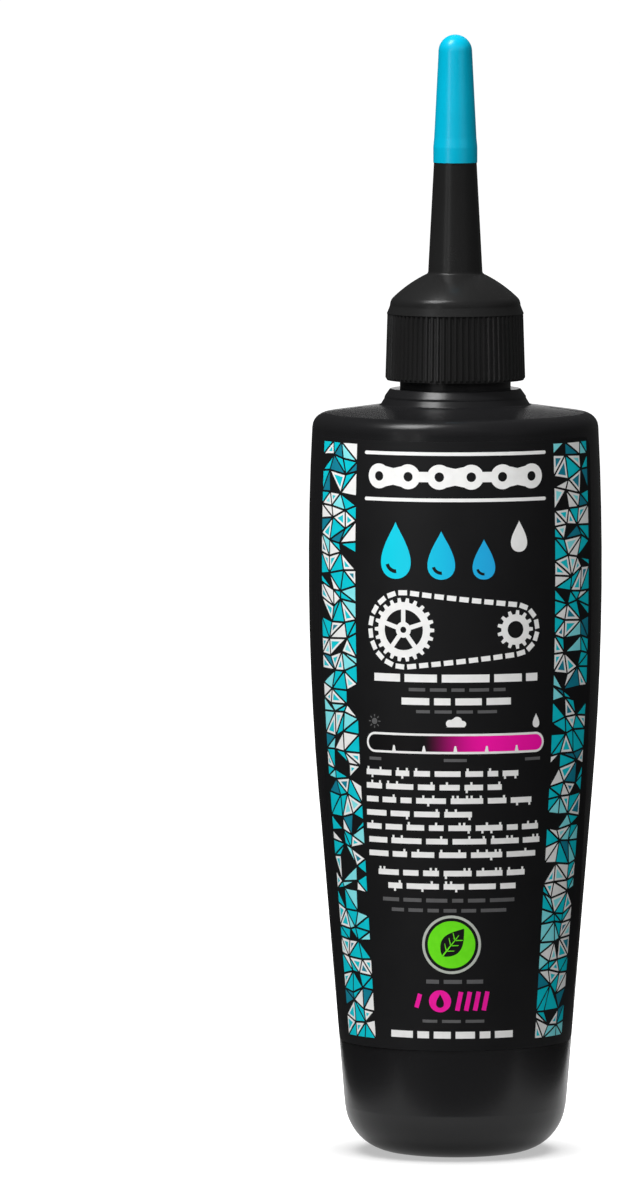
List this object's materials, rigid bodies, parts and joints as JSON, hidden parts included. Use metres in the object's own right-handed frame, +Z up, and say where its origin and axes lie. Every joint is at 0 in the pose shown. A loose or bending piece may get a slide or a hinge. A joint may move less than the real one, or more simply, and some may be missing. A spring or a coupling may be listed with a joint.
{
  "type": "chain lube bottle",
  "caption": "Squeeze bottle for chain lubricant: tapered blow-moulded body with a front label, ribbed screw cap with a long drip spout, and a pull-off tip cover.",
  "frame": {"origin": "middle of the ring that the bottle stands on", "axes": "+Z up along the bottle's axis towards the spout, -Y out of the front of the label"},
  "size_m": [0.0462, 0.0463, 0.1767],
  "materials": {
    "bottle": "satin black, blow moulded",
    "label": "matt printed film",
    "cap_liner": "white foam",
    "spout_cap": "satin black, injection moulded",
    "tip_cover": "smooth cyan, injection moulded"
  },
  "bodies": {
    "bottle": {"bottle": "bottle", "label": "label"},
    "liner": {"cap_liner": "cap_liner"},
    "cap": {"spout_cap": "spout_cap"},
    "tip_cover": {"tip_cover": "tip_cover"}
  },
  "joints": [
    {"name": "cap_rise", "type": "slide", "parent": "bottle", "child": "liner", "axis": [0, 0, 1], "range_m": [0, 0.00476]},
    {"name": "cap_turn", "type": "hinge", "parent": "liner", "child": "cap", "pos_m": [0, 0, 0.1323], "axis": [0, 0, 1], "range_deg": [0, 540]},
    {"name": "tip_pull", "type": "slide", "parent": "cap", "child": "tip_cover", "axis": [0, 0, 1], "range_m": [0, 0.025]}
  ],
  "couplings": [
    {"joint": "cap_rise", "follows": "cap_turn", "m_per_rad": 0.0005053}
  ]
}
